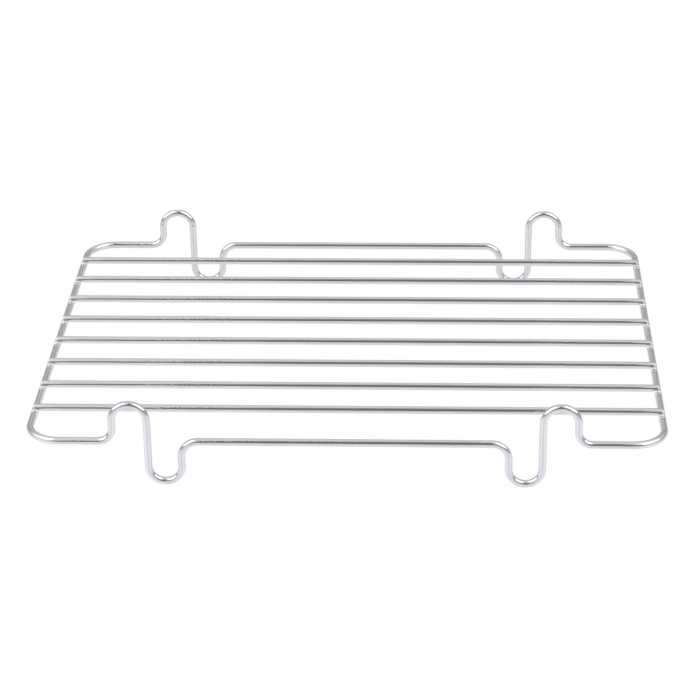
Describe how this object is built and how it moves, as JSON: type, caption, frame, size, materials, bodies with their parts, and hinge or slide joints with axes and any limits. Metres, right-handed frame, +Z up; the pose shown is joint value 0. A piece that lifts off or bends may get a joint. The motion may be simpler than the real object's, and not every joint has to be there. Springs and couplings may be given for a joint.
{
  "type": "roasting rack",
  "caption": "Reversible wire roasting rack: parallel grill rods welded across a bent rectangular frame wire whose kinks form feet below and crests above",
  "frame": {"origin": "on the surface that the feet stand on, under the middle of the rack", "axes": "+X along the grill rods to the right as the picture shows it, +Y away from the viewer, +Z up"},
  "size_m": [0.34, 0.253, 0.0494],
  "materials": {
    "chrome_wire": "bright plated wire"
  },
  "bodies": {
    "root": {"frame_wire": "chrome_wire", "grill_rod_1": "chrome_wire", "grill_rod_2": "chrome_wire", "grill_rod_3": "chrome_wire", "grill_rod_4": "chrome_wire", "grill_rod_5": "chrome_wire", "grill_rod_6": "chrome_wire", "grill_rod_7": "chrome_wire", "grill_rod_8": "chrome_wire"}
  },
  "joints": []
}
